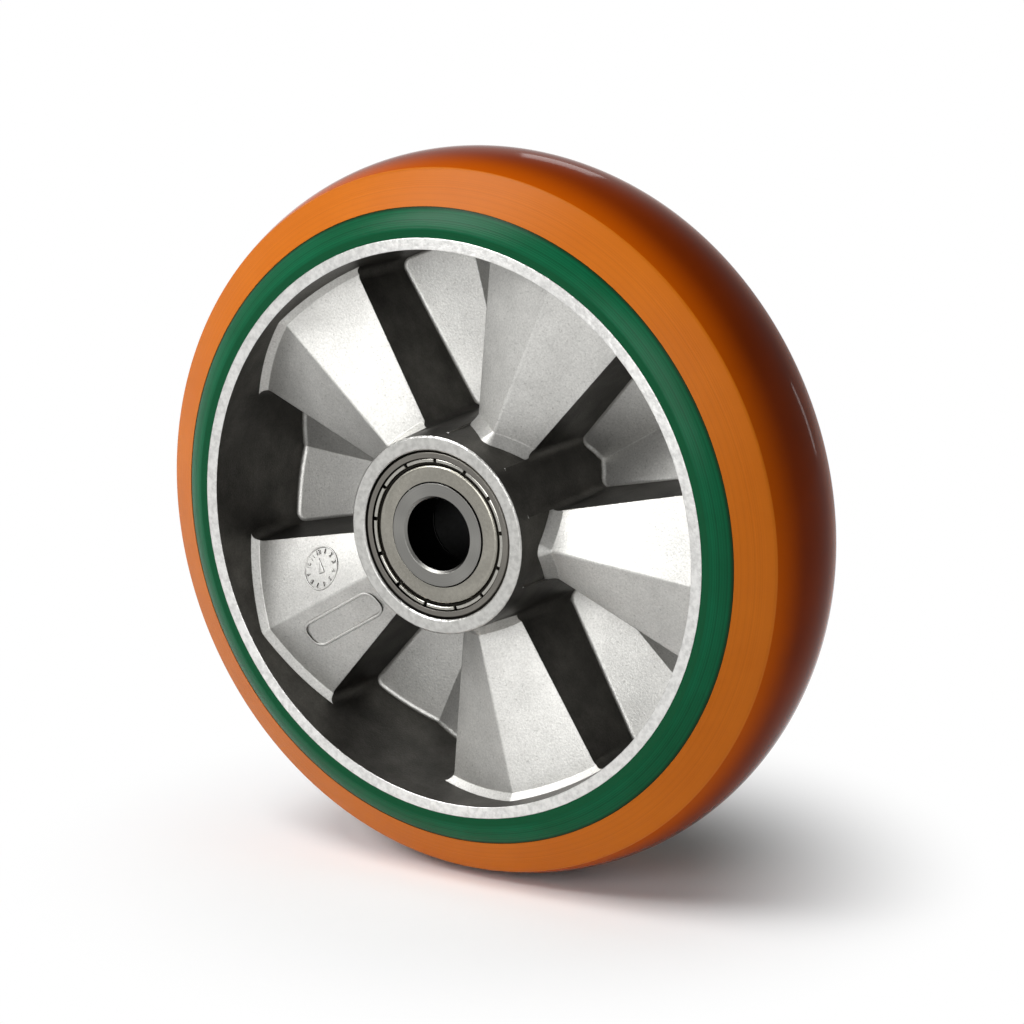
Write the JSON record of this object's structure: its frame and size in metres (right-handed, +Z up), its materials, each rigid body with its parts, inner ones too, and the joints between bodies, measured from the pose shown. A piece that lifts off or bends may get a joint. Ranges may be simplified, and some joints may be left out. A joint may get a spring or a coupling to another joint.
{
  "type": "industrial castor wheel",
  "caption": "Heavy-duty castor wheel: cast centre with a corrugated web, crowned tyre bonded over a cushion layer, and shielded ball bearings for an axle bolt.",
  "frame": {"origin": "the centre of the wheel, on the axle line", "axes": "+Y along the axle from the front face to the rear face, +X to the right seen from the front, +Z up"},
  "size_m": [0.203, 0.06, 0.2028],
  "materials": {
    "orange_tread": "cast polyurethane, glossy on the running face and matte turned on the bevels",
    "green_cushion": "cast polyurethane, satin, with fine turning lines",
    "cast_aluminium": "shot-blasted casting, turned at the rim lips, hub faces and bearing seats",
    "spacer_steel": "drawn tube, cut and faced",
    "ring_steel": "ground bearing steel",
    "shield_steel": "pressed and crimped sheet steel",
    "cage_steel": "pressed ribbon steel and rivets",
    "ball_steel": "polished chrome steel"
  },
  "bodies": {
    "axle_side": {"spacer_sleeve": "spacer_steel", "front_inner_ring": "ring_steel", "rear_inner_ring": "ring_steel"},
    "wheel": {"tread": "orange_tread", "cushion_layer": "green_cushion", "wheel_centre": "cast_aluminium", "front_outer_ring": "ring_steel", "front_outer_shield": "shield_steel", "front_inner_shield": "shield_steel", "rear_outer_ring": "ring_steel", "rear_outer_shield": "shield_steel", "rear_inner_shield": "shield_steel"},
    "front_cage": {"front_cage_outer_half": "cage_steel", "front_cage_inner_half": "cage_steel", "front_cage_rivets": "cage_steel"},
    "front_ball_1": {"front_ball_1": "ball_steel"},
    "front_ball_2": {"front_ball_2": "ball_steel"},
    "front_ball_3": {"front_ball_3": "ball_steel"},
    "front_ball_4": {"front_ball_4": "ball_steel"},
    "front_ball_5": {"front_ball_5": "ball_steel"},
    "front_ball_6": {"front_ball_6": "ball_steel"},
    "front_ball_7": {"front_ball_7": "ball_steel"},
    "front_ball_8": {"front_ball_8": "ball_steel"},
    "rear_cage": {"rear_cage_outer_half": "cage_steel", "rear_cage_inner_half": "cage_steel", "rear_cage_rivets": "cage_steel"},
    "rear_ball_1": {"rear_ball_1": "ball_steel"},
    "rear_ball_2": {"rear_ball_2": "ball_steel"},
    "rear_ball_3": {"rear_ball_3": "ball_steel"},
    "rear_ball_4": {"rear_ball_4": "ball_steel"},
    "rear_ball_5": {"rear_ball_5": "ball_steel"},
    "rear_ball_6": {"rear_ball_6": "ball_steel"},
    "rear_ball_7": {"rear_ball_7": "ball_steel"},
    "rear_ball_8": {"rear_ball_8": "ball_steel"}
  },
  "joints": [
    {"name": "wheel_spin", "type": "hinge", "parent": "axle_side", "child": "wheel", "pos_m": [0, 0, 0], "axis": [0, 1, 0], "continuous": true},
    {"name": "front_cage_spin", "type": "hinge", "parent": "axle_side", "child": "front_cage", "pos_m": [0, -0.0225, 0], "axis": [0, 1, 0], "continuous": true},
    {"name": "front_ball_1_roll", "type": "hinge", "parent": "front_cage", "child": "front_ball_1", "pos_m": [0.01675, -0.0225, 0], "axis": [0, 1, 0], "continuous": true},
    {"name": "front_ball_2_roll", "type": "hinge", "parent": "front_cage", "child": "front_ball_2", "pos_m": [0.01184, -0.0225, 0.01184], "axis": [0, 1, 0], "continuous": true},
    {"name": "front_ball_3_roll", "type": "hinge", "parent": "front_cage", "child": "front_ball_3", "pos_m": [0, -0.0225, 0.01675], "axis": [0, 1, 0], "continuous": true},
    {"name": "front_ball_4_roll", "type": "hinge", "parent": "front_cage", "child": "front_ball_4", "pos_m": [-0.01184, -0.0225, 0.01184], "axis": [0, 1, 0], "continuous": true},
    {"name": "front_ball_5_roll", "type": "hinge", "parent": "front_cage", "child": "front_ball_5", "pos_m": [-0.01675, -0.0225, 0], "axis": [0, 1, 0], "continuous": true},
    {"name": "front_ball_6_roll", "type": "hinge", "parent": "front_cage", "child": "front_ball_6", "pos_m": [-0.01184, -0.0225, -0.01184], "axis": [0, 1, 0], "continuous": true},
    {"name": "front_ball_7_roll", "type": "hinge", "parent": "front_cage", "child": "front_ball_7", "pos_m": [0, -0.0225, -0.01675], "axis": [0, 1, 0], "continuous": true},
    {"name": "front_ball_8_roll", "type": "hinge", "parent": "front_cage", "child": "front_ball_8", "pos_m": [0.01184, -0.0225, -0.01184], "axis": [0, 1, 0], "continuous": true},
    {"name": "rear_cage_spin", "type": "hinge", "parent": "axle_side", "child": "rear_cage", "pos_m": [0, 0.0225, 0], "axis": [0, 1, 0], "continuous": true},
    {"name": "rear_ball_1_roll", "type": "hinge", "parent": "rear_cage", "child": "rear_ball_1", "pos_m": [0.01675, 0.0225, 0], "axis": [0, 1, 0], "continuous": true},
    {"name": "rear_ball_2_roll", "type": "hinge", "parent": "rear_cage", "child": "rear_ball_2", "pos_m": [0.01184, 0.0225, -0.01184], "axis": [0, 1, 0], "continuous": true},
    {"name": "rear_ball_3_roll", "type": "hinge", "parent": "rear_cage", "child": "rear_ball_3", "pos_m": [0, 0.0225, -0.01675], "axis": [0, 1, 0], "continuous": true},
    {"name": "rear_ball_4_roll", "type": "hinge", "parent": "rear_cage", "child": "rear_ball_4", "pos_m": [-0.01184, 0.0225, -0.01184], "axis": [0, 1, 0], "continuous": true},
    {"name": "rear_ball_5_roll", "type": "hinge", "parent": "rear_cage", "child": "rear_ball_5", "pos_m": [-0.01675, 0.0225, 0], "axis": [0, 1, 0], "continuous": true},
    {"name": "rear_ball_6_roll", "type": "hinge", "parent": "rear_cage", "child": "rear_ball_6", "pos_m": [-0.01184, 0.0225, 0.01184], "axis": [0, 1, 0], "continuous": true},
    {"name": "rear_ball_7_roll", "type": "hinge", "parent": "rear_cage", "child": "rear_ball_7", "pos_m": [0, 0.0225, 0.01675], "axis": [0, 1, 0], "continuous": true},
    {"name": "rear_ball_8_roll", "type": "hinge", "parent": "rear_cage", "child": "rear_ball_8", "pos_m": [0.01184, 0.0225, 0.01184], "axis": [0, 1, 0], "continuous": true}
  ],
  "couplings": [
    {"joint": "front_cage_spin", "follows": "wheel_spin", "ratio": 0.61848},
    {"joint": "front_ball_1_roll", "follows": "wheel_spin", "ratio": 1.9916},
    {"joint": "front_ball_2_roll", "follows": "wheel_spin", "ratio": 1.9916},
    {"joint": "front_ball_3_roll", "follows": "wheel_spin", "ratio": 1.9916},
    {"joint": "front_ball_4_roll", "follows": "wheel_spin", "ratio": 1.9916},
    {"joint": "front_ball_5_roll", "follows": "wheel_spin", "ratio": 1.9916},
    {"joint": "front_ball_6_roll", "follows": "wheel_spin", "ratio": 1.9916},
    {"joint": "front_ball_7_roll", "follows": "wheel_spin", "ratio": 1.9916},
    {"joint": "front_ball_8_roll", "follows": "wheel_spin", "ratio": 1.9916},
    {"joint": "rear_cage_spin", "follows": "wheel_spin", "ratio": 0.61848},
    {"joint": "rear_ball_1_roll", "follows": "wheel_spin", "ratio": 1.9916},
    {"joint": "rear_ball_2_roll", "follows": "wheel_spin", "ratio": 1.9916},
    {"joint": "rear_ball_3_roll", "follows": "wheel_spin", "ratio": 1.9916},
    {"joint": "rear_ball_4_roll", "follows": "wheel_spin", "ratio": 1.9916},
    {"joint": "rear_ball_5_roll", "follows": "wheel_spin", "ratio": 1.9916},
    {"joint": "rear_ball_6_roll", "follows": "wheel_spin", "ratio": 1.9916},
    {"joint": "rear_ball_7_roll", "follows": "wheel_spin", "ratio": 1.9916},
    {"joint": "rear_ball_8_roll", "follows": "wheel_spin", "ratio": 1.9916}
  ]
}
